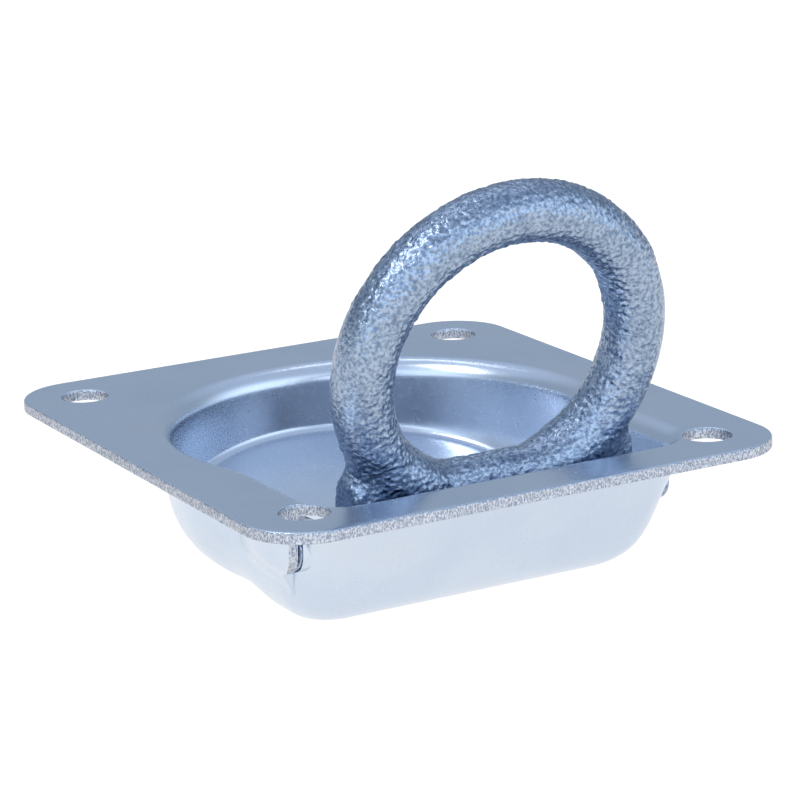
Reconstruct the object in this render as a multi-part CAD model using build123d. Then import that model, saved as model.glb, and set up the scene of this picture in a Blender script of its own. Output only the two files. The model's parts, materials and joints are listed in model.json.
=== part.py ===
from build123d import *
import math
import os

# Recessed lashing ring: a forged ring that turns in a drawn sheet-steel pan.
# Origin: centre of the four fixing holes, on the underside of the flange.
# +X runs along the hinge, +Y from the hinge side to the rounded back, +Z up.
# All lengths are in millimetres and all angles in degrees.

# Sheet and flange
SHEET = 2.2
FLANGE_WIDTH = 114.3
FLANGE_DEPTH = 123.8
FLANGE_CORNER = 12.7
HOLE_DIAMETER = 9.52
HOLE_EDGE_DISTANCE = 12.7
HOLE_LIP_RADIUS = 0.5

# Drawn recess: where the flat flange starts to bend down, and how each wall leans
FLOOR_Z = -25.0
TOP_BEND = 4.0
BACK_RADIUS = 47.2
BACK_DRAFT = 4.5
BACK_FLOOR_BEND = 15.8
SIDE_HALF_WIDTH = 43.7
SIDE_DRAFT = 3.5
SIDE_FLOOR_BEND = 8.6
FRONT_DISTANCE = 52.0
FRONT_DRAFT = 31.0
FRONT_FLOOR_BEND = 9.3
CORNER_RADIUS = 11.0
CORNER_TAPER = 0.35
WAIST_BACK_ANGLE = 10.0
WAIST_FRONT_Y = -22.0
RAMP_START_Y = -26.5
RAMP_ANGLE = 10.8
BEND_STEP_ANGLES = (0, 20, 40, 60, 80)
FLOOR_STEP_ANGLES = (78, 62, 48, 36, 26, 17, 9, 0)
WALL_STEP_DEPTHS = (0.6, 1.4, 2.6, 4.2, 6.2, 8.4)

# Hinge and ring
HINGE_Y = -37.32
HINGE_Z = -8.67
REST_ANGLE = 104.2
RING_RADIUS = 29.65
RING_RISE = 4.4
RING_STOCK_RADIUS = 5.95
SHOULDER_HALF_LENGTH = 31.0
SHOULDER_RADIUS = 4.7
SHOULDER_RISE = 7.9
SHOULDER_FILLET = 1.5
TRUNNION_RADIUS = 4.2
LEFT_TRUNNION_END = -41.9
RIGHT_TRUNNION_END = 41.0
TRUNNION_CHAMFER = 0.8

# Left hinge pocket, pressed out of the side wall along a sheared front; the right trunnion has a plain hole
JOURNAL_CLEARANCE = 0.08
POCKET_RADIUS = 4.5
POCKET_INNER_FACE_X = -42.3
POCKET_OUTER_FACE_X = -44.4
POCKET_ROOT_X = -38.0
POCKET_TAIL_Y = -16.0
SLIT_START_X = -41.5
SLIT_TOP = -3.0


def rotated(distance, angle):
    """Y and Z of a point at a distance and angle from the hinge axis."""
    lean = math.radians(angle)
    return HINGE_Y + distance * math.cos(lean), HINGE_Z + distance * math.sin(lean)


def wall_distance(z, flat_edge, draft, floor_bend, skin):
    """Distance of a wall from the origin at height z: skin 0 is inside, SHEET is outside."""
    lean = math.radians(draft)
    top_radius = TOP_BEND - skin
    floor_radius = floor_bend + skin
    top_z = SHEET - TOP_BEND
    floor_centre_z = FLOOR_Z + floor_bend
    drop = top_z - floor_centre_z
    floor_centre = flat_edge - drop * math.tan(lean) - (TOP_BEND + floor_bend) / math.cos(lean)
    bend_end = top_z + top_radius * math.sin(lean)
    floor_start = floor_centre_z - floor_radius * math.sin(lean)
    if z > bend_end:
        return flat_edge - math.sqrt(max(top_radius**2 - (z - top_z) ** 2, 0.0))
    if z > floor_start:
        return flat_edge - top_radius * math.cos(lean) - (bend_end - z) * math.tan(lean)
    return floor_centre + math.sqrt(max(floor_radius**2 - (z - floor_centre_z) ** 2, 0.0))


def recess_section(z, skin):
    """Plan outline of the recess at height z: round back, waist, straight sides and front."""
    back = wall_distance(z, BACK_RADIUS, BACK_DRAFT, BACK_FLOOR_BEND, skin)
    side = wall_distance(z, SIDE_HALF_WIDTH, SIDE_DRAFT, SIDE_FLOOR_BEND, skin)
    front = wall_distance(z, FRONT_DISTANCE, FRONT_DRAFT, FRONT_FLOOR_BEND, skin)
    inset = SIDE_HALF_WIDTH - side
    bend_inset = min(inset, TOP_BEND - skin)
    corner = CORNER_RADIUS - bend_inset - CORNER_TAPER * (inset - bend_inset)
    waist_angle = math.radians(-WAIST_BACK_ANGLE)
    waist = (back * math.cos(waist_angle), back * math.sin(waist_angle))
    waist_slope = (math.sin(waist_angle), -math.cos(waist_angle))
    mirrored_slope = (math.sin(waist_angle), math.cos(waist_angle))
    side_top = max(WAIST_FRONT_Y, corner - front + 1.0)
    with BuildSketch(Plane.XY.offset(z)) as section:
        with BuildLine():
            right = Spline(waist, (side, side_top), tangents=(waist_slope, (0, -1)))
            right_side = Line(right @ 1, (side, corner - front))
            right_corner = TangentArc(right_side @ 1, (side - corner, -front), tangent=(0, -1))
            front_line = Line(right_corner @ 1, (corner - side, -front))
            left_corner = TangentArc(front_line @ 1, (-side, corner - front), tangent=(-1, 0))
            left_side = Line(left_corner @ 1, (-side, side_top))
            left = Spline(left_side @ 1, (-waist[0], waist[1]), tangents=((0, 1), mirrored_slope))
            ThreePointArc(left @ 1, (0, back), right @ 0)
        make_face()
    return section.sketch.face()


def recess_form(skin):
    """Solid that fills the recess: its inside for skin 0, or its outside for skin SHEET."""
    top = SHEET - skin
    floor = FLOOR_Z - skin
    heights = [top - (TOP_BEND - skin) * (1 - math.cos(math.radians(a))) for a in BEND_STEP_ANGLES]
    heights += [top - TOP_BEND - depth for depth in WALL_STEP_DEPTHS]
    bend = BACK_FLOOR_BEND + skin
    heights += [floor + bend * (1 - math.cos(math.radians(a))) for a in FLOOR_STEP_ANGLES]
    return loft([recess_section(z, skin) for z in heights]) - below_ramp(skin)


def below_ramp(skin):
    """Block under the ramped floor, on which the folded ring rests level."""
    block = Box(200, 240, 60, align=(Align.CENTER, Align.CENTER, Align.MAX))
    return Pos(0, RAMP_START_Y, FLOOR_Z) * Rot(RAMP_ANGLE, 0, 0) * Pos(0, 0, -skin) * block


def hole_positions():
    """The four fixing holes' centres, one near each flange corner."""
    x = FLANGE_WIDTH / 2 - HOLE_EDGE_DISTANCE
    y = FLANGE_DEPTH / 2 - HOLE_EDGE_DISTANCE
    return [(x, y), (-x, y), (-x, -y), (x, -y)]


def hole_cutter(x, y):
    """Drill for one fixing hole, flared by the rounded lip at the top face."""
    radius = HOLE_DIAMETER / 2
    lip = HOLE_LIP_RADIUS
    with BuildPart() as cutter:
        with BuildSketch(Plane.XZ):
            with BuildLine():
                foot = Polyline((radius + lip, SHEET), (0, SHEET), (0, 0), (radius, 0), (radius, SHEET - lip))
                RadiusArc(foot @ 1, foot @ 0, -lip)
            make_face()
        revolve(axis=Axis.Z)
    return Pos(x, y, 0) * cutter.part


def along_hinge(radius, start_x, end_x):
    """Round bar on the hinge axis between two X positions."""
    bar = extrude(Plane.YZ.offset(start_x) * Pos(HINGE_Y, HINGE_Z) * Circle(radius), end_x - start_x)
    return bar


def pocket_form():
    """Bulge round the left trunnion that runs back into the side wall."""
    wall_x = TOP_BEND - SHEET - SIDE_HALF_WIDTH
    plan = Polyline(
        (POCKET_ROOT_X, HINGE_Y - POCKET_RADIUS),
        (POCKET_OUTER_FACE_X, HINGE_Y - POCKET_RADIUS),
        (POCKET_OUTER_FACE_X, HINGE_Y + POCKET_RADIUS),
        (wall_x, POCKET_TAIL_Y),
        (POCKET_ROOT_X, POCKET_TAIL_Y),
        close=True,
    )
    bottom = HINGE_Z - POCKET_RADIUS
    lowest = (Align.MAX, Align.MIN, Align.MIN)
    length = 2 * SIDE_HALF_WIDTH
    tail = extrude(Pos(0, 0, bottom) * make_face(plan), -bottom)
    nose = along_hinge(POCKET_RADIUS, POCKET_OUTER_FACE_X, POCKET_ROOT_X)
    behind = Pos(0, HINGE_Y, bottom) * Box(length, POCKET_TAIL_Y - HINGE_Y, -bottom, align=lowest)
    corner = (0, HINGE_Y - POCKET_RADIUS, HINGE_Z)
    above = Pos(*corner) * Box(length, 2 * POCKET_RADIUS, -HINGE_Z, align=lowest)
    return tail & (nose + behind + above)


def pocket_slit():
    """Sheared gap that opens the front of the pocket, between its sheet and the wall."""
    width = SLIT_START_X - POCKET_INNER_FACE_X
    reach = POCKET_RADIUS + JOURNAL_CLEARANCE
    corner = (POCKET_INNER_FACE_X, HINGE_Y - reach, HINGE_Z - reach)
    height = SLIT_TOP - HINGE_Z + reach
    return Pos(*corner) * Box(width, reach, height, align=(Align.MIN, Align.MIN, Align.MIN))


def make_pan():
    """Flange, recess and left hinge pocket, drawn from one sheet, with a hinge hole on the right."""
    plate = extrude(RectangleRounded(FLANGE_WIDTH, FLANGE_DEPTH, FLANGE_CORNER), SHEET)
    pan = plate + recess_form(SHEET) + pocket_form() - recess_form(0)
    pan -= along_hinge(TRUNNION_RADIUS + JOURNAL_CLEARANCE, POCKET_INNER_FACE_X, SIDE_HALF_WIDTH)
    pan -= pocket_slit()
    for x, y in hole_positions():
        pan -= hole_cutter(x, y)
    return pan


def make_ring():
    """One forging: round ring, shoulder bar across its foot, and a trunnion at each end."""
    ring_plane = Plane(
        origin=(0, *rotated(RING_RISE + RING_RADIUS, REST_ANGLE)),
        x_dir=(1, 0, 0),
        z_dir=(0, -math.sin(math.radians(REST_ANGLE)), math.cos(math.radians(REST_ANGLE))),
    )
    hoop = ring_plane * Torus(RING_RADIUS, RING_STOCK_RADIUS)
    slot_plane = Plane.YZ * Pos(*rotated(SHOULDER_RISE / 2, REST_ANGLE)) * Rot(0, 0, REST_ANGLE)
    profile = slot_plane * SlotCenterToCenter(SHOULDER_RISE, 2 * SHOULDER_RADIUS)
    shoulder = extrude(profile, SHOULDER_HALF_LENGTH, both=True)
    ends = shoulder.edges().filter_by(lambda e: abs(abs(e.center().X) - SHOULDER_HALF_LENGTH) < 0.01)
    shoulder = fillet(ends, SHOULDER_FILLET)
    trunnions = along_hinge(TRUNNION_RADIUS, LEFT_TRUNNION_END, RIGHT_TRUNNION_END)
    rims = trunnions.edges().filter_by(GeomType.CIRCLE)
    trunnions = chamfer(rims, TRUNNION_CHAMFER)
    return hoop + shoulder + trunnions


os.makedirs("parts", exist_ok=True)
export_step(make_pan(), "parts/pan.step")
export_step(make_ring(), "parts/ring.step")
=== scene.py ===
import json
import math

import bmesh
import bpy
import numpy as np
from mathutils import Matrix, Vector
from mathutils.geometry import delaunay_2d_cdt


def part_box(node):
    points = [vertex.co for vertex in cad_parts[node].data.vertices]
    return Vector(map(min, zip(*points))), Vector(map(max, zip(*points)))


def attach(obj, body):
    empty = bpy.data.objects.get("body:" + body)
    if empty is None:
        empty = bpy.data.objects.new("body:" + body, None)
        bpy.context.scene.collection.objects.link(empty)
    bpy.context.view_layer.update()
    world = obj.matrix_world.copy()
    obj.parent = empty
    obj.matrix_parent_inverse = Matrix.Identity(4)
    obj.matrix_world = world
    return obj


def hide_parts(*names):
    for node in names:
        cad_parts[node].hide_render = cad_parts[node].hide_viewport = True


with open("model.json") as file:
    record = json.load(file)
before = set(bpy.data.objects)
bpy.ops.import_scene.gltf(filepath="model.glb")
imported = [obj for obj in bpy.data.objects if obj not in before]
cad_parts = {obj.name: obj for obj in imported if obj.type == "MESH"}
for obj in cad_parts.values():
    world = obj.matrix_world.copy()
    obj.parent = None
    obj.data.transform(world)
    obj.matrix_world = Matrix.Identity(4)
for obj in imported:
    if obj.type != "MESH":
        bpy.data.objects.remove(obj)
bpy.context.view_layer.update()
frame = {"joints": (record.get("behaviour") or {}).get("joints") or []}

# Sizes are in millimetres, in the part's own frame; meshes are scaled to metres as they are made.
MM = 0.001
PAN_LOW = [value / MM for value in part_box("pan")[0]]
PAN_HIGH = [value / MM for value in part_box("pan")[1]]
HINGE = [value / MM for value in frame["joints"][0]["pos_m"]]

# Sheet and flange
SHEET = 2.2
FLANGE_HALF = (PAN_HIGH[0], PAN_HIGH[1])
FLANGE_CORNER = 12.7
HOLE_RADIUS = 4.76
HOLE_INSET = 12.7
LIP = 0.55
EDGE_ROLL = 0.5
TEAR_DEPTH = 0.035

# Recess; each wall has the place where the flat flange starts to bend down, its lean in degrees,
# and the radius of its bend into the floor
FLOOR_Z = -25.0
TOP_BEND = 4.0
BACK = (47.2, 4.5, 15.8)
SIDE = (43.7, 3.5, 8.6)
FRONT = (52.0, 31.0, 9.3)
CORNER_RADIUS = 11.0
CORNER_TAPER = 0.35
WAIST_ANGLE = 10.0
WAIST_Y = -22.0
RAMP_START_Y = -26.5
RAMP_ANGLE = 10.8
RAMP_FILLET = 1.6
RAMP_OUTER_FILLET = 0.3
RAMP_FILLET_Y = (5, 25)

# Points along each stretch of the recess's outline, and loops down its wall
BACK_POINTS = 150
SIDE_POINTS = 22
FRONT_POINTS = 60
TOP_LOOPS = 13
WALL_LOOPS = 16
FLOOR_LOOPS = 50

# Ring
REST_ANGLE = 104.2
RING_RADIUS = 29.65
STOCK_RADIUS = 5.95
SHOULDER_HALF = 31.0
SHOULDER_RADIUS = 4.7
SHOULDER_RISE = 7.9
RING_RISE = 4.4
TRUNNION_RADIUS = 4.2
TRUNNION_ENDS = (-41.9, 41.0)
BAR_END_ROUND = 1.6
PIN_END_ROUND = 0.8
RING_GRID = 0.33

# Forged surface: wavelength, number of waves, seed and height of each layer, and how far all of it sinks
FORGING_LAYERS = ((9.0, 60, 11, 0.05), (2.6, 90, 12, 0.035), (1.25, 160, 13, 0.055))
FORGING_INSET = 0.08
HINGE_INSET = 0.14
TRUNNION_CALM = 0.93

# Left hinge pocket
CLEARANCE = 0.08
POCKET_RADIUS = 4.5
POCKET_INNER_FACE = -42.3
POCKET_OUTER_FACE = -44.4
SLIT_REACH = POCKET_RADIUS + 0.03
SLIT_TOP = 5.7

# Bulge that the pocket is cut from: its extent, where it swells, and how its two skins meet the wall
BLISTER_Y = (-48, -6)
BLISTER_Z = (0.3, -19)
BLISTER_SWELL_Y = (8, 33)
BLISTER_SWELL_Z = (-18, -11)
BLISTER_PROUD = 0.12
BLISTER_DEPTH = 1.1
BLISTER_CORNER = CORNER_RADIUS - 2.0


# ---------------------------------------------------------------- mesh helpers

def new_object(name, vertices, faces, smooth=True):
    """Mesh object from millimetre vertices and faces of any length."""
    mesh = bpy.data.meshes.new(name)
    mesh.from_pydata((np.asarray(vertices) * MM).tolist(), [], faces)
    mesh.validate()
    mesh.polygons.foreach_set("use_smooth", [smooth] * len(mesh.polygons))
    mesh.update()
    obj = bpy.data.objects.new(name, mesh)
    bpy.context.scene.collection.objects.link(obj)
    return obj


class Shell:
    """Collects vertex loops and the faces between them."""

    def __init__(self):
        self.points = []
        self.faces = []

    def loop(self, points):
        """Adds points and gives their numbers."""
        start = len(self.points)
        self.points += [tuple(p) for p in points]
        return list(range(start, len(self.points)))

    def bridge(self, lower, upper):
        """Quads between two closed loops of equal length."""
        count = len(lower)
        for i in range(count):
            j = (i + 1) % count
            self.faces.append((lower[i], lower[j], upper[j], upper[i]))

    def cap(self, loop, centre):
        """Triangles from a closed loop to its centre."""
        middle = self.loop([centre])[0]
        for i in range(len(loop)):
            self.faces.append((loop[i], loop[(i + 1) % len(loop)], middle))

    def plate(self, outer, inners, z, upwards, spacing):
        """Flat face between one outer loop and inner loops, with a grid of points inside."""
        loops = [outer] + inners
        rings = [np.array([self.points[i][:2] for i in loop]) for loop in loops]
        grid = grid_between(rings, spacing)
        owner = [i for loop in loops for i in loop] + self.loop([(x, y, z) for x, y in grid])
        flat = [Vector(p) for p in np.vstack(rings + [grid])]
        edges = closed_edges([len(loop) for loop in loops])
        result = delaunay_2d_cdt(flat, edges, [], 0, 1e-6)
        vertices, triangles, sources = result[0], np.array(result[2]), result[3]
        index = [owner[s[0]] for s in sources]
        corners = np.array([[v[0], v[1]] for v in vertices])
        good = between(corners[triangles].mean(1), rings)
        for triangle in triangles[good]:
            face = [index[i] for i in triangle]
            self.faces.append(tuple(face if upwards else face[::-1]))


def closed_edges(counts):
    """Corner pairs of closed rings whose corners are numbered one ring after another."""
    edges = []
    start = 0
    for count in counts:
        edges += [(start + i, start + (i + 1) % count) for i in range(count)]
        start += count
    return edges


def grid_between(rings, spacing):
    """Triangular grid of points inside the first ring and outside the others, clear of them all."""
    low, high = rings[0].min(0), rings[0].max(0)
    grid = []
    for row, y in enumerate(np.arange(low[1], high[1], spacing * 0.866)):
        for x in np.arange(low[0] + (row % 2) * spacing / 2, high[0], spacing):
            grid.append((x, y))
    grid = np.array(grid)
    keep = between(grid, rings)
    for ring in rings:
        keep &= nearest(grid, ring) > spacing * 0.6
    return grid[keep]


def between(points, rings):
    """Which points lie inside the first ring and outside the others."""
    result = inside(points, rings[0])
    for ring in rings[1:]:
        result &= ~inside(points, ring)
    return result


def inside(points, ring):
    """Which points lie inside a closed plane ring."""
    x, y = points[:, 0][:, None], points[:, 1][:, None]
    a, b = ring, np.roll(ring, -1, axis=0)
    crosses = (a[:, 1] > y) != (b[:, 1] > y)
    rise = b[:, 1] - a[:, 1]
    rise = np.where(np.abs(rise) < 1e-12, 1e-12, rise)
    at = a[:, 0] + (y - a[:, 1]) / rise * (b[:, 0] - a[:, 0])
    return (crosses & (x < at)).sum(1) % 2 == 1


def nearest(points, ring):
    """Distance from each point to the nearest corner of a ring."""
    gap = points[:, None, :] - ring[None, :, :]
    return np.sqrt((gap**2).sum(2)).min(1)


def waves(points, wavelength, count, seed):
    """Smooth isotropic noise of about unit deviation, as a sum of plane waves."""
    rng = np.random.default_rng(seed)
    direction = rng.normal(size=(count, 3))
    direction /= np.linalg.norm(direction, axis=1)[:, None]
    scale = 2 * math.pi / (wavelength * rng.uniform(0.75, 1.35, count))
    phase = rng.uniform(0, 2 * math.pi, count)
    total = np.zeros(len(points))
    for axis, k, start in zip(direction, scale, phase):
        total += np.sin(points @ (axis * k) + start)
    return total * math.sqrt(2 / count)


def smooth_step(value, low, high):
    """0 below low, 1 above high, and a smooth rise between."""
    t = np.clip((value - low) / (high - low), 0, 1)
    return t * t * (3 - 2 * t)


# ---------------------------------------------------------------- pan

def wall_distance(z, wall, skin):
    """Distance of a wall from the origin at height z: skin 0 is inside, SHEET is outside."""
    flat_edge, draft, floor_bend = wall
    lean = math.radians(draft)
    top_radius = TOP_BEND - skin
    floor_radius = floor_bend + skin
    top_z = SHEET - TOP_BEND
    centre_z = FLOOR_Z + floor_bend
    centre = flat_edge - (top_z - centre_z) * math.tan(lean) - (TOP_BEND + floor_bend) / math.cos(lean)
    bend_end = top_z + top_radius * math.sin(lean)
    floor_start = centre_z - floor_radius * math.sin(lean)
    if z > bend_end:
        return flat_edge - math.sqrt(max(top_radius**2 - (z - top_z) ** 2, 0.0))
    if z > floor_start:
        return flat_edge - top_radius * math.cos(lean) - (bend_end - z) * math.tan(lean)
    return centre + math.sqrt(max(floor_radius**2 - (z - centre_z) ** 2, 0.0))


def arc(centre, radius, start, end, count):
    """Points on an arc, without its last one; angles in degrees."""
    angles = np.radians(np.linspace(start, end, count, endpoint=False))
    return np.c_[centre[0] + radius * np.cos(angles), centre[1] + radius * np.sin(angles)]


def line(start, end, count):
    """Points on a straight line, without its last one."""
    t = np.linspace(0, 1, count, endpoint=False)[:, None]
    return np.array(start) * (1 - t) + np.array(end) * t


def hermite(start, start_slope, end, end_slope, count):
    """Points on a curve with given slopes at both ends, without its last one."""
    t = np.linspace(0, 1, count, endpoint=False)[:, None]
    reach = math.dist(start, end)
    a, b = np.array(start), np.array(end)
    ta, tb = np.array(start_slope) * reach, np.array(end_slope) * reach
    return (
        (2 * t**3 - 3 * t**2 + 1) * a
        + (t**3 - 2 * t**2 + t) * ta
        + (-2 * t**3 + 3 * t**2) * b
        + (t**3 - t**2) * tb
    )


def recess_outline(z, skin):
    """Plan outline of the recess at height z, anticlockwise from the right of the round back."""
    back = wall_distance(z, BACK, skin)
    side = wall_distance(z, SIDE, skin)
    front = wall_distance(z, FRONT, skin)
    inset = SIDE[0] - side
    bend_inset = min(inset, TOP_BEND - skin)
    corner = CORNER_RADIUS - bend_inset - CORNER_TAPER * (inset - bend_inset)
    waist = math.radians(-WAIST_ANGLE)
    tip = (back * math.cos(waist), back * math.sin(waist))
    side_top = max(WAIST_Y, corner - front + 1.0)
    slope = (math.sin(waist), -math.cos(waist))
    mirrored = (math.sin(waist), math.cos(waist))
    return np.vstack(
        [
            arc((0, 0), back, -WAIST_ANGLE, 180 + WAIST_ANGLE, BACK_POINTS),
            hermite((-tip[0], tip[1]), (-mirrored[0], -mirrored[1]), (-side, side_top), (0, -1), SIDE_POINTS),
            line((-side, side_top), (-side, corner - front), SIDE_POINTS),
            arc((corner - side, corner - front), corner, 180, 270, SIDE_POINTS),
            line((corner - side, -front), (side - corner, -front), FRONT_POINTS),
            arc((side - corner, corner - front), corner, 270, 360, SIDE_POINTS),
            line((side, corner - front), (side, side_top), SIDE_POINTS),
            hermite((side, side_top), (0, 1), tip, (-slope[0], -slope[1]), SIDE_POINTS),
        ]
    )


def recess_heights(skin):
    """Heights of the wall's loops, closer together in both bends."""
    top = SHEET - skin
    floor = FLOOR_Z - skin
    bend = TOP_BEND - skin
    upper = [top - bend * (1 - math.cos(math.radians(a))) for a in np.linspace(0, 84, TOP_LOOPS)]
    foot = BACK[2] + skin
    lower = [floor + foot * (1 - math.cos(math.radians(a))) for a in np.linspace(80, 0, FLOOR_LOOPS)]
    straight = np.linspace(upper[-1], lower[0], WALL_LOOPS + 2)[1:-1]
    return upper + list(straight) + lower


def lift_on_ramp(points, skin):
    """Raises every point below the ramped floor on to it, with a small fillet along the wall."""
    points = np.array(points)
    slope = math.tan(math.radians(RAMP_ANGLE))
    level = FLOOR_Z - skin / math.cos(math.radians(RAMP_ANGLE)) + slope * (points[:, 1] - RAMP_START_Y)
    fillet = RAMP_FILLET if skin == 0 else RAMP_OUTER_FILLET
    radius = fillet * smooth_step(points[:, 1], *RAMP_FILLET_Y)
    wall = np.array([wall_distance(min(z, 0.0), BACK, skin) for z in level + radius])
    gap = np.clip(wall - np.hypot(points[:, 0], points[:, 1]), 0, radius)
    rise = radius - np.sqrt(np.maximum(radius**2 - (radius - gap) ** 2, 0))
    points[:, 2] = np.maximum(points[:, 2], level + rise)
    return [tuple(p) for p in points]


def flange_outline(inset, count_side, count_corner):
    """Rounded rectangle of the flange, anticlockwise."""
    half_x, half_y = FLANGE_HALF[0] - inset, FLANGE_HALF[1] - inset
    radius = FLANGE_CORNER - inset
    points = []
    corners = [(1, 1, 0), (-1, 1, 90), (-1, -1, 180), (1, -1, 270)]
    for n, (sx, sy, start) in enumerate(corners):
        centre = (sx * (half_x - radius), sy * (half_y - radius))
        points.append(arc(centre, radius, start, start + 90, count_corner))
        nx, ny, next_start = corners[(n + 1) % 4]
        end_angle = math.radians(start + 90)
        here = (centre[0] + radius * math.cos(end_angle), centre[1] + radius * math.sin(end_angle))
        next_centre = (nx * (half_x - radius), ny * (half_y - radius))
        begin = math.radians(next_start)
        there = (next_centre[0] + radius * math.cos(begin), next_centre[1] + radius * math.sin(begin))
        points.append(line(here, there, count_side))
    return np.vstack(points)


def with_z(outline, z):
    """Plane outline as 3-D points at one height."""
    return np.c_[outline, np.full(len(outline), z)]


def hole_centres():
    """The four fixing holes' centres, one near each flange corner."""
    x, y = FLANGE_HALF[0] - HOLE_INSET, FLANGE_HALF[1] - HOLE_INSET
    return [(x, y), (-x, y), (-x, -y), (x, -y)]


def make_sheet():
    """Flange and recess as one closed skin, with no holes yet."""
    shell = Shell()
    inner = [shell.loop(with_z(recess_outline(z, 0), z)) for z in recess_heights(0)]
    for upper, lower in zip(inner, inner[1:]):
        shell.bridge(upper, lower)
    shell.plate(inner[-1], [], FLOOR_Z, True, 2.0)
    inside_count = len(shell.points)
    outer = [shell.loop(with_z(recess_outline(z, SHEET), z)) for z in recess_heights(SHEET)]
    for upper, lower in zip(outer, outer[1:]):
        shell.bridge(lower, upper)
    shell.plate(outer[-1], [], FLOOR_Z - SHEET, False, 2.5)
    lifted = lift_on_ramp(shell.points[:inside_count], 0)
    shell.points = lifted + lift_on_ramp(shell.points[inside_count:], SHEET)
    rims = [shell.loop(sheared_edge(inset, z)) for inset, z in edge_profile()]
    for upper, lower in zip(rims, rims[1:]):
        shell.bridge(lower, upper)
    shell.plate(rims[0], [inner[0]], SHEET, True, 1.6)
    shell.plate(rims[-1], [outer[0]], 0.0, False, 3.0)
    return new_object("pan_sheet", shell.points, shell.faces)


def edge_profile():
    """Inset and height down the flange's edge: rolled top corner, cut face, sharp foot."""
    angles = np.radians(np.linspace(0, 90, 5))
    profile = [(EDGE_ROLL * (1 - math.sin(a)), SHEET - EDGE_ROLL * (1 - math.cos(a))) for a in angles]
    profile += [(0.0, z) for z in np.linspace(SHEET - EDGE_ROLL, 0.12, 8)[1:]]
    return profile + [(0.1, 0.0)]


def sheared_edge(inset, z):
    """One loop of the flange's edge, with the fine upright tears that a press shear leaves."""
    outline = with_z(flange_outline(inset, 300, 60), z)
    depth = SHEET - z
    tears = waves(outline * (1, 1, 0.12), 0.9, 50, 21) + waves(outline * (1, 1, 0.3), 0.5, 50, 22)
    amount = TEAR_DEPTH * smooth_step(depth, 0.1, 0.6) * (1 - smooth_step(depth, SHEET - 0.15, SHEET))
    away = outline[:, :2] / np.linalg.norm(outline[:, :2], axis=1)[:, None]
    outline[:, :2] -= away * np.clip((tears * amount + amount * 1.5), 0, None)[:, None]
    return outline


def lathe(name, profile, centre, turns=96):
    """Closed turned solid about a vertical axis, from (radius, z) corners between two axis points."""
    shell = Shell()
    loops = [shell.loop(with_z(arc(centre, r, 0, 360, turns), z)) for r, z in profile]
    for upper, lower in zip(loops, loops[1:]):
        shell.bridge(lower, upper)
    shell.cap(loops[0], (*centre, profile[0][1]))
    shell.cap(loops[-1][::-1], (*centre, profile[-1][1]))
    return new_object(name, shell.points, shell.faces)


def hole_drill(centre):
    """Drill for one fixing hole, flared at the top by the rounded lip."""
    angles = np.radians(np.linspace(0, 90, 7))
    profile = [(HOLE_RADIUS + LIP + 0.02, SHEET + 2)]
    profile += [(HOLE_RADIUS + LIP * (1 - math.sin(a)), SHEET - LIP * (1 - math.cos(a))) for a in angles]
    profile += [(HOLE_RADIUS, z) for z in (1.1, 0.6)]
    profile += [(HOLE_RADIUS + 0.02, -0.02), (HOLE_RADIUS + 0.02, -3)]
    return lathe("drill", profile, centre)


def prism(name, outline, start_x, end_x):
    """Solid with a closed (y, z) outline between two X positions; the outline runs anticlockwise from +X."""
    shell = Shell()
    near = shell.loop([(end_x, y, z) for y, z in outline])
    far = shell.loop([(start_x, y, z) for y, z in outline])
    shell.bridge(far, near)
    shell.faces.append(tuple(near))
    shell.faces.append(tuple(far[::-1]))
    return new_object(name, shell.points, shell.faces)


def pocket_blister():
    """Bulge of the left side wall round its trunnion, before the sheared front is cut.

    Its hidden side follows the straight wall and the front corner, but not the waist: behind
    y = -14 it stands up to 1.7 mm proud inside the recess.
    """
    ys = np.linspace(*BLISTER_Y, 84)
    corner = BLISTER_CORNER
    shell = Shell()
    rows = []
    for z in np.linspace(*BLISTER_Z, 60):
        below_flange = min(z, -0.01)
        wall = wall_distance(below_flange, SIDE, SHEET)
        swell = -POCKET_OUTER_FACE - wall
        out = swell * smooth_step(-ys, *BLISTER_SWELL_Y) * smooth_step(z, *BLISTER_SWELL_Z)
        outer = [(-wall + BLISTER_PROUD - o, y, z) for y, o in zip(ys, out)]
        past = np.clip(corner - wall_distance(below_flange, FRONT, SHEET) - ys, 0, corner * 0.95)
        root = corner - wall - np.sqrt(corner**2 - past**2) + BLISTER_DEPTH
        inner = [(x, y, z) for x, y in zip(root[::-1], ys[::-1])]
        rows.append(shell.loop(outer + inner))
    for upper, lower in zip(rows, rows[1:]):
        shell.bridge(upper, lower)
    for loop in (rows[0], rows[-1]):
        for i in range(len(ys) - 1):
            shell.faces.append((loop[i], loop[i + 1], loop[-2 - i], loop[-1 - i]))
    return new_object("blister", shell.points, shell.faces)


def pocket_front():
    """Outline in (y, z) of what the pocket keeps: the shear runs round the trunnion in front and below."""
    y, z = HINGE[1], HINGE[2]
    shear = [(y + a, z + b) for a, b in arc((0, 0), POCKET_RADIUS, 180, 262, 30)]
    behind = [(y + 1.0, z - 5.2), (y + 3.0, -20.0), (-4.0, -20.0), (-4.0, 1.0)]
    return [(y - POCKET_RADIUS, 1.0)] + shear + behind


def cut(obj, tool, operation="DIFFERENCE"):
    """Boolean with a tool that is then removed."""
    fix_normals(tool)
    change = obj.modifiers.new("cut", "BOOLEAN")
    change.operation = operation
    change.solver = "EXACT"
    change.object = tool
    graph = bpy.context.evaluated_depsgraph_get()
    mesh = bpy.data.meshes.new_from_object(obj.evaluated_get(graph))
    obj.modifiers.remove(change)
    obj.data = mesh
    bpy.data.objects.remove(tool)


def fix_normals(obj):
    """Turns every face's normal outwards."""
    solid = bmesh.new()
    solid.from_mesh(obj.data)
    bmesh.ops.recalc_face_normals(solid, faces=solid.faces)
    solid.to_mesh(obj.data)
    solid.free()


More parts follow.
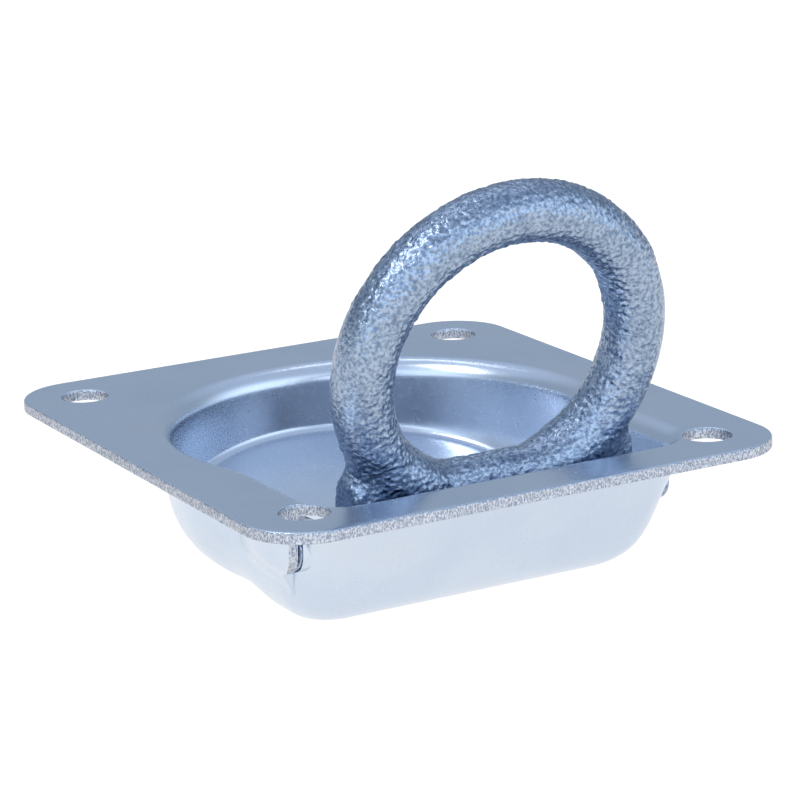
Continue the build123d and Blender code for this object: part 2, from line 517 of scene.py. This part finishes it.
def make_pan():
    """Sheet with the left pocket, the hinge bore, the pocket's slit and the fixing holes."""
    pan = make_sheet()
    fix_normals(pan)
    y, z = HINGE[1], HINGE[2]
    blister = pocket_blister()
    fix_normals(blister)
    cut(blister, prism("keep", pocket_front(), -60, 60), "INTERSECT")
    cut(pan, blister, "UNION")
    bore = [(y + a, z + b) for a, b in arc((0, 0), TRUNNION_RADIUS + CLEARANCE, 0, 360, 72)]
    cut(pan, prism("bore", bore, POCKET_INNER_FACE, SIDE[0]))
    front, foot, top = y - SLIT_REACH, z - SLIT_REACH, z + SLIT_TOP
    slit = [(front, foot), (y, foot), (y, top), (front, top)]
    cut(pan, prism("slit", slit, POCKET_INNER_FACE - 0.1, POCKET_INNER_FACE + 1.0))
    for centre in hole_centres():
        cut(pan, hole_drill(centre))
    pan.data.polygons.foreach_set("use_smooth", [True] * len(pan.data.polygons))
    pan.data.set_sharp_from_angle(angle=math.radians(28))
    return pan


# ---------------------------------------------------------------- ring

def ring_axes():
    """Directions up the ring's plane and out of it, at rest."""
    lean = math.radians(REST_ANGLE)
    along = np.array([0, math.cos(lean), math.sin(lean)])
    across = np.array([0, -math.sin(lean), math.cos(lean)])
    return along, across


def soft_union(a, b, reach):
    """Distance to two joined shapes, blended where they meet."""
    overlap = np.clip(1 - np.abs(a - b) / reach, 0, 1)
    return np.minimum(a, b) - overlap**2 * reach / 4


def round_cap(section, over_end, radius):
    """Distance to a bar with a rounded end, from its section distance and its distance past the end."""
    a, b = section + radius, over_end + radius
    outside = np.sqrt(np.maximum(a, 0) ** 2 + np.maximum(b, 0) ** 2)
    return outside + np.minimum(np.maximum(a, b), 0) - radius


def ring_distance(local):
    """Signed distance to the ring: local holds X, the height in the ring's plane and the depth."""
    side, height, depth = local[:, 0], local[:, 1], local[:, 2]
    x = np.abs(side)
    radial = np.sqrt(x**2 + (height - RING_RISE - RING_RADIUS) ** 2) - RING_RADIUS
    hoop = np.sqrt(radial**2 + depth**2) - STOCK_RADIUS
    above = height - np.clip(height, 0, SHOULDER_RISE)
    bar = round_cap(np.sqrt(above**2 + depth**2) - SHOULDER_RADIUS, x - SHOULDER_HALF, BAR_END_ROUND)
    past = np.maximum(side - TRUNNION_ENDS[1], TRUNNION_ENDS[0] - side)
    pin = round_cap(np.sqrt(height**2 + depth**2) - TRUNNION_RADIUS, past, PIN_END_ROUND)
    reach = 1.0 + 5.0 * smooth_step(x, 8, 18)
    body = soft_union(hoop, bar, reach)
    return soft_union(body, pin, 1.6)


def make_ring():
    """Ring, shoulder and trunnions as one forging with a rough, blasted surface."""
    along, across = ring_axes()
    basis = np.array([[1, 0, 0], along, across])
    points, faces = ring_start_mesh()
    points = project(points, ring_distance, 6)
    normals = gradient(points, ring_distance)
    layers = [waves(points, length, count, seed) * height for length, count, seed, height in FORGING_LAYERS]
    relief = sum(layers)
    on_trunnion = smooth_step(np.abs(points[:, 0]), SHOULDER_HALF + 0.3, SHOULDER_HALF + 3)
    near_hinge = 1 - smooth_step(points[:, 1], 4, 12)
    depth = (relief - FORGING_INSET - HINGE_INSET * near_hinge) * (1 - TRUNNION_CALM * on_trunnion)
    points = points + normals * depth[:, None]
    world = np.array(HINGE) + points @ basis
    return new_object("ring_forging", world, faces)


def gradient(points, distance):
    """Unit direction in which the distance grows fastest."""
    step = 0.02
    slopes = []
    for axis in range(3):
        shift = np.zeros(3)
        shift[axis] = step
        slopes.append(distance(points + shift) - distance(points - shift))
    slope = np.stack(slopes, 1)
    return slope / np.maximum(np.linalg.norm(slope, axis=1), 1e-9)[:, None]


def project(points, distance, rounds):
    """Moves points along the gradient on to the surface where the distance is zero."""
    for _ in range(rounds):
        points = points - gradient(points, distance) * distance(points)[:, None]
    return points


def ring_start_mesh():
    """Quads close to the ring's surface: joined primitives, remeshed on a fine grid."""
    bpy.ops.mesh.primitive_torus_add(
        major_radius=RING_RADIUS, minor_radius=STOCK_RADIUS, major_segments=160, minor_segments=40,
        location=(0, RING_RISE + RING_RADIUS, 0),
    )
    hoop = bpy.context.object
    parts = [hoop]
    for radius, (left, right), height in (
        (SHOULDER_RADIUS, (-SHOULDER_HALF, SHOULDER_HALF), 0.0),
        (SHOULDER_RADIUS, (-SHOULDER_HALF, SHOULDER_HALF), SHOULDER_RISE / 2),
        (SHOULDER_RADIUS, (-SHOULDER_HALF, SHOULDER_HALF), SHOULDER_RISE),
        (TRUNNION_RADIUS, TRUNNION_ENDS, 0.0),
    ):
        bpy.ops.mesh.primitive_cylinder_add(
            radius=radius, depth=right - left, vertices=48,
            location=((left + right) / 2, height, 0), rotation=(0, math.pi / 2, 0),
        )
        parts.append(bpy.context.object)
    bpy.ops.object.select_all(action="DESELECT")
    for part in parts:
        part.select_set(True)
    bpy.context.view_layer.objects.active = hoop
    bpy.ops.object.join()
    bpy.ops.object.transform_apply(location=True, rotation=True, scale=True)
    remesh = hoop.modifiers.new("grid", "REMESH")
    remesh.mode = "VOXEL"
    remesh.voxel_size = RING_GRID
    result = hoop.evaluated_get(bpy.context.evaluated_depsgraph_get()).to_mesh()
    points = np.zeros(len(result.vertices) * 3)
    result.vertices.foreach_get("co", points)
    faces = [tuple(p.vertices) for p in result.polygons]
    bpy.data.objects.remove(hoop)
    return points.reshape(-1, 3), faces


# ---------------------------------------------------------------- materials

def material(name):
    """New node material, with its nodes, its links and its shader."""
    mat = bpy.data.materials.new(name)
    mat.use_nodes = True
    nodes = mat.node_tree.nodes
    shader = nodes["Principled BSDF"]
    return mat, nodes, mat.node_tree.links, shader


def add_noise(nodes, links, place, scale, detail):
    """Noise texture at a place on the object."""
    noise = nodes.new("ShaderNodeTexNoise")
    noise.inputs["Scale"].default_value = scale
    noise.inputs["Detail"].default_value = detail
    links.new(place, noise.inputs["Vector"])
    return noise.outputs["Fac"]


def add_tint(nodes, links, factor, shader, low, high, middle=None):
    """Base colour that runs between stops, each a position and a colour."""
    tint = nodes.new("ShaderNodeValToRGB")
    stops = tint.color_ramp.elements
    for stop, (position, colour) in zip(stops, (low, high)):
        stop.position = position
        stop.color = (*colour, 1)
    if middle:
        stops.new(middle[0]).color = (*middle[1], 1)
    links.new(factor, tint.inputs["Fac"])
    links.new(tint.outputs["Color"], shader.inputs["Base Color"])


def add_roughness(nodes, links, factor, shader, low, high):
    """Roughness that runs between two values."""
    rough = nodes.new("ShaderNodeMapRange")
    rough.inputs["To Min"].default_value = low
    rough.inputs["To Max"].default_value = high
    links.new(factor, rough.inputs["Value"])
    links.new(rough.outputs["Result"], shader.inputs["Roughness"])


def add_bump(nodes, links, height, shader, strength, distance):
    """Fine relief in the shading."""
    bump = nodes.new("ShaderNodeBump")
    bump.inputs["Strength"].default_value = strength
    bump.inputs["Distance"].default_value = distance
    links.new(height, bump.inputs["Height"])
    links.new(bump.outputs["Normal"], shader.inputs["Normal"])


def zinc_sheet():
    """Bright zinc plate on smooth drawn sheet."""
    mat, nodes, links, shader = material("zinc_sheet")
    shader.inputs["Metallic"].default_value = 1.0
    place = nodes.new("ShaderNodeTexCoord").outputs["Object"]
    cloud = add_noise(nodes, links, place, 35, 3)
    low, middle, high = (0.3, (0.56, 0.63, 0.74)), (0.5, (0.60, 0.67, 0.77)), (0.7, (0.62, 0.66, 0.74))
    add_tint(nodes, links, cloud, shader, low, high, middle)
    grain = add_noise(nodes, links, place, 900, 4)
    add_roughness(nodes, links, grain, shader, 0.22, 0.30)
    add_bump(nodes, links, grain, shader, 0.06, 0.0001)
    return mat


def zinc_forging():
    """Zinc plate on a rough, blasted forging: dark specks between pale ones."""
    mat, nodes, links, shader = material("zinc_forging")
    shader.inputs["Metallic"].default_value = 1.0
    place = nodes.new("ShaderNodeTexCoord").outputs["Object"]
    grain = add_noise(nodes, links, place, 1400, 4)
    add_tint(nodes, links, grain, shader, (0.36, (0.16, 0.22, 0.32)), (0.62, (0.38, 0.46, 0.58)))
    add_roughness(nodes, links, grain, shader, 0.17, 0.30)
    add_bump(nodes, links, grain, shader, 0.5, 0.0004)
    return mat


def zinc_cut_edge():
    """Sheared and punched faces: fine torn grain, a little longer upwards, dark between bright."""
    mat, nodes, links, shader = material("zinc_cut_edge")
    shader.inputs["Metallic"].default_value = 1.0
    shader.inputs["Roughness"].default_value = 0.3
    stretch = nodes.new("ShaderNodeMapping")
    stretch.inputs["Scale"].default_value = (1.0, 1.0, 0.55)
    links.new(nodes.new("ShaderNodeTexCoord").outputs["Object"], stretch.inputs["Vector"])
    tears = add_noise(nodes, links, stretch.outputs["Vector"], 3200, 2)
    add_tint(nodes, links, tears, shader, (0.40, (0.28, 0.31, 0.38)), (0.62, (0.64, 0.67, 0.73)))
    add_bump(nodes, links, tears, shader, 1.0, 0.0003)
    return mat


def is_pocket_shear(face):
    """Whether a face is on the sheared front of the left pocket."""
    x, y, z = face.center
    in_sheet = POCKET_OUTER_FACE * MM < x < POCKET_INNER_FACE * MM
    faces_forward = abs(face.normal.x) < 0.5 and face.normal.y < -0.05
    return in_sheet and faces_forward and y < (HINGE[1] - 0.5) * MM and z < 0


def is_flange_cut(face, centres):
    """Whether a face is on the flange's outside edge or on a fixing hole's wall."""
    if abs(face.normal.z) > 0.75 or face.center.z < -0.1 * MM:
        return False
    middle = np.array(face.center[:2])
    near_hole = np.linalg.norm(centres - middle, axis=1).min() < (HOLE_RADIUS + 0.25) * MM
    half = (np.array(FLANGE_HALF) - EDGE_ROLL * 0.8) * MM
    corner = np.maximum(np.abs(middle) - half + (FLANGE_CORNER - EDGE_ROLL * 0.8) * MM, 0)
    return near_hole or np.linalg.norm(corner) > (FLANGE_CORNER - EDGE_ROLL * 1.2) * MM


def mark_cut_faces(pan, slot):
    """Gives the flange's outside edge, the hole walls and the pocket's shear the cut-edge material."""
    centres = np.array(hole_centres()) * MM
    for face in pan.data.polygons:
        if is_pocket_shear(face) or is_flange_cut(face, centres):
            face.material_index = slot


# ---------------------------------------------------------------- studio

def make_camera():
    """Camera from the front left, a little above the flange."""
    data = bpy.data.cameras.new("camera")
    data.lens = 144.57
    data.sensor_width = 36.0
    camera = bpy.data.objects.new("camera", data)
    bpy.context.scene.collection.objects.link(camera)
    right = (0.87099, -0.49042, -0.02941)
    up = (0.15449, 0.21657, 0.96397)
    back = (-0.46638, -0.84415, 0.26439)
    place = (-0.29959, -0.54829, 0.17643)
    rows = [(right[i], up[i], back[i], place[i]) for i in range(3)] + [(0, 0, 0, 1)]
    camera.matrix_world = Matrix(rows)
    data.clip_start = 0.01
    bpy.context.scene.camera = camera


def area_light(name, azimuth, elevation, distance, size, power):
    """White softbox that faces the origin; azimuth 0 stands on the front side, -Y."""
    a, e = math.radians(azimuth), math.radians(elevation)
    place = np.array([math.sin(a) * math.cos(e), -math.cos(a) * math.cos(e), math.sin(e)]) * distance
    data = bpy.data.lights.new(name, "AREA")
    data.shape = "RECTANGLE"
    data.size, data.size_y = size
    data.energy = power
    lamp = bpy.data.objects.new(name, data)
    bpy.context.scene.collection.objects.link(lamp)
    lamp.location = place
    lamp.rotation_euler = Vector(-place).to_track_quat("-Z", "Y").to_euler()


def make_floor():
    """Pale square floor that the pan's foot stands on."""
    size = 6000.0
    z = PAN_LOW[2]
    corners = [(-size, -size, z), (size, -size, z), (size, size, z), (-size, size, z)]
    floor = new_object("floor", corners, [(0, 1, 2, 3)], smooth=False)
    mat, _, _, shader = material("pale_floor")
    shader.inputs["Base Color"].default_value = (0.30, 0.28, 0.25, 1)
    shader.inputs["Roughness"].default_value = 0.9
    shader.inputs["Emission Color"].default_value = (1.0, 0.99, 0.98, 1)
    shader.inputs["Emission Strength"].default_value = 0.86
    floor.data.materials.append(mat)


def make_world():
    """Soft studio surroundings: grey-blue behind and overhead, pale blue low down in front."""
    world = bpy.data.worlds.new("studio")
    bpy.context.scene.world = world
    world.use_nodes = True
    nodes, links = world.node_tree.nodes, world.node_tree.links
    coordinates = nodes.new("ShaderNodeTexCoord")
    split = nodes.new("ShaderNodeSeparateXYZ")
    links.new(coordinates.outputs["Generated"], split.inputs["Vector"])
    front = smooth_range(nodes, links, split.outputs["Y"], 0.05, -0.55)
    height = smooth_range(nodes, links, split.outputs["Z"], 0.40, 0.75)
    low = mix_colour(nodes, links, front, (0.38, 0.46, 0.56), (1.30, 1.50, 1.75))
    whole = mix_colour(nodes, links, height, low, (0.55, 0.65, 0.82))
    links.new(whole, nodes["Background"].inputs["Color"])


def smooth_range(nodes, links, value, low, high):
    """Node that turns a value into a smooth 0 to 1 between two limits."""
    ramp = nodes.new("ShaderNodeMapRange")
    ramp.interpolation_type = "SMOOTHSTEP"
    ramp.inputs["From Min"].default_value = min(low, high)
    ramp.inputs["From Max"].default_value = max(low, high)
    ramp.inputs["To Min"].default_value = 0.0 if low < high else 1.0
    ramp.inputs["To Max"].default_value = 1.0 if low < high else 0.0
    links.new(value, ramp.inputs["Value"])
    return ramp.outputs["Result"]


def mix_colour(nodes, links, factor, first, second):
    """Node that mixes two colours, each a tuple or another node's output."""
    mix = nodes.new("ShaderNodeMix")
    mix.data_type = "RGBA"
    links.new(factor, mix.inputs["Factor"])
    for name, colour in (("A", first), ("B", second)):
        socket = next(i for i in mix.inputs if i.name == name and i.type == "RGBA")
        if isinstance(colour, tuple):
            socket.default_value = (*colour, 1)
        else:
            links.new(colour, socket)
    return next(o for o in mix.outputs if o.type == "RGBA")


make_camera()
make_floor()
make_world()
area_light("left", -80, 50, 1.0, (0.2, 0.6), 3)
area_light("strip", 165, 68, 1.2, (0.9, 0.08), 0.8)

pan = make_pan()
pan.data.materials.append(zinc_sheet())
pan.data.materials.append(zinc_cut_edge())
mark_cut_faces(pan, 1)
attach(pan, "pan")
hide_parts("pan")

ring = make_ring()
ring.data.materials.append(zinc_forging())
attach(ring, "ring")
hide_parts("ring")

bpy.context.scene.view_settings.view_transform = "Standard"
